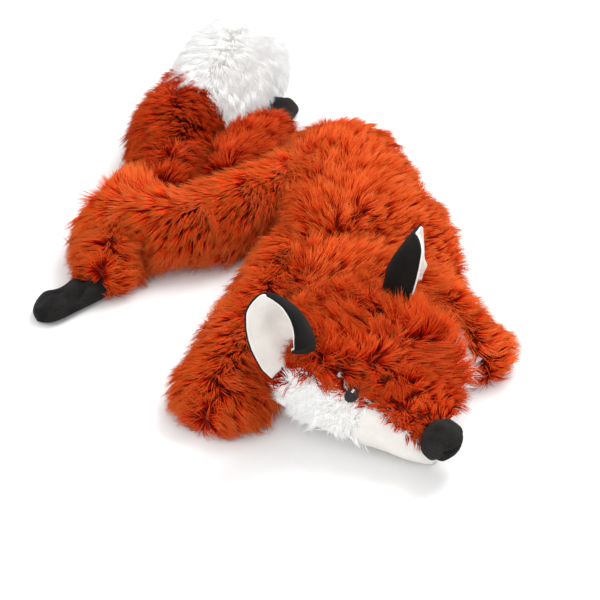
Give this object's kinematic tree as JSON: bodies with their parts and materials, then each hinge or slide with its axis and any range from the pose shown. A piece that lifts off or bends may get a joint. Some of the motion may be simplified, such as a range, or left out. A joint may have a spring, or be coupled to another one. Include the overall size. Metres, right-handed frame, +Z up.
{
  "type": "unstuffed dog toy",
  "caption": "Unstuffed plush fox toy lying folded in a U, with a lightly padded head, cupped ears, flat legs, sock feet and a bushy tail that hides a squeaker",
  "frame": {"origin": "on the floor under the middle of the toy's bounding box", "axes": "+Z up; +Y runs from the head end to the tail end as the toy lies; +X to the right as seen from the head end"},
  "size_m": [0.2778, 0.426, 0.0892],
  "materials": {
    "orange_plush": "matte",
    "white_plush": "matte",
    "white_velboa": "matte",
    "black_velboa": "matte",
    "polyester_fill": "matte",
    "squeaker_vinyl": "satin",
    "black_thread": "satin"
  },
  "bodies": {
    "fore": {"fore_back": "orange_plush", "fore_belly": "white_velboa"},
    "hind": {"hind_back": "orange_plush", "hind_belly": "white_velboa"},
    "right_hind_leg": {"right_hind_leg_upper": "orange_plush", "right_hind_leg_inside": "white_velboa"},
    "right_hind_foot": {"right_hind_foot_upper": "black_velboa", "right_hind_foot_sole": "black_velboa"},
    "left_hind_leg": {"left_hind_leg_upper": "orange_plush", "left_hind_leg_inside": "white_velboa"},
    "left_hind_foot": {"left_hind_foot_upper": "black_velboa", "left_hind_foot_sole": "black_velboa"},
    "tail": {"tail_upper": "orange_plush", "tail_under": "orange_plush"},
    "tail_tip": {"tail_tip_upper": "white_plush", "tail_tip_under": "white_plush", "tail_squeaker_bulb": "squeaker_vinyl", "tail_squeaker_reed": "squeaker_vinyl"},
    "right_front_leg": {"right_front_leg_upper": "orange_plush", "right_front_leg_inside": "white_velboa"},
    "left_front_leg": {"left_front_leg_upper": "orange_plush", "left_front_leg_inside": "white_velboa"},
    "head": {"head_crown": "orange_plush", "right_cheek": "white_plush", "left_cheek": "white_plush", "muzzle_chin": "white_velboa", "head_stuffing": "polyester_fill", "head_squeaker_bulb": "squeaker_vinyl", "head_squeaker_reed": "squeaker_vinyl", "nose": "black_velboa", "right_eye": "black_thread", "left_eye": "black_thread"},
    "right_ear": {"right_ear_back": "black_velboa", "right_ear_lining": "white_velboa"},
    "left_ear": {"left_ear_back": "black_velboa", "left_ear_lining": "white_velboa"}
  },
  "joints": [
    {"name": "waist_bend", "type": "hinge", "parent": "fore", "child": "hind", "pos_m": [0.04297, 0.03634, 0], "axis": [0, 0, -1], "range_deg": [0, 30]},
    {"name": "neck_lift", "type": "hinge", "parent": "fore", "child": "head", "pos_m": [0.02297, -0.11666, 0.056], "axis": [-0.7771, -0.6293, 0], "range_deg": [0, 45]},
    {"name": "right_ear_flop", "type": "hinge", "parent": "head", "child": "right_ear", "pos_m": [0.01061, -0.16655, 0.03616], "axis": [0.9877, -0.1564, 0], "range_deg": [-12, 30], "stiffness_Nm_per_rad": 0.02},
    {"name": "left_ear_flop", "type": "hinge", "parent": "head", "child": "left_ear", "pos_m": [0.07434, -0.11495, 0.03622], "axis": [0.0523, 0.9986, 0], "range_deg": [-12, 30], "stiffness_Nm_per_rad": 0.02},
    {"name": "right_front_leg_swing", "type": "hinge", "parent": "fore", "child": "right_front_leg", "pos_m": [0.01073, -0.07566, 0], "axis": [0, 0, -1], "range_deg": [0, 35]},
    {"name": "left_front_leg_lift", "type": "hinge", "parent": "fore", "child": "left_front_leg", "pos_m": [0.10121, -0.08926, 0.028], "axis": [-0.8746, -0.4848, 0], "range_deg": [0, 35]},
    {"name": "right_hind_leg_lift", "type": "hinge", "parent": "hind", "child": "right_hind_leg", "pos_m": [-0.09203, -0.02126, 0.036], "axis": [-0.9455, 0.3256, 0], "range_deg": [0, 35]},
    {"name": "right_hind_foot_fold", "type": "hinge", "parent": "right_hind_leg", "child": "right_hind_foot", "pos_m": [-0.10506, -0.05908, 0.013], "axis": [-0.6157, 0.788, 0], "range_deg": [0, 60]},
    {"name": "left_hind_leg_lift", "type": "hinge", "parent": "hind", "child": "left_hind_leg", "pos_m": [-0.02453, 0.02962, 0.032], "axis": [0.9563, -0.2924, 0], "range_deg": [0, 20]},
    {"name": "left_hind_foot_fold", "type": "hinge", "parent": "left_hind_leg", "child": "left_hind_foot", "pos_m": [0.00486, 0.10847, 0.013], "axis": [0.9703, -0.2419, 0], "range_deg": [0, 60]},
    {"name": "tail_lift", "type": "hinge", "parent": "hind", "child": "tail", "pos_m": [-0.07103, 0.02226, 0.042], "axis": [0.9994, -0.0349, 0], "range_deg": [0, 50]},
    {"name": "tail_tip_flex", "type": "hinge", "parent": "tail", "child": "tail_tip", "pos_m": [-0.04324, 0.12524, 0.05], "axis": [0.9205, -0.3907, 0], "range_deg": [0, 45]}
  ]
}
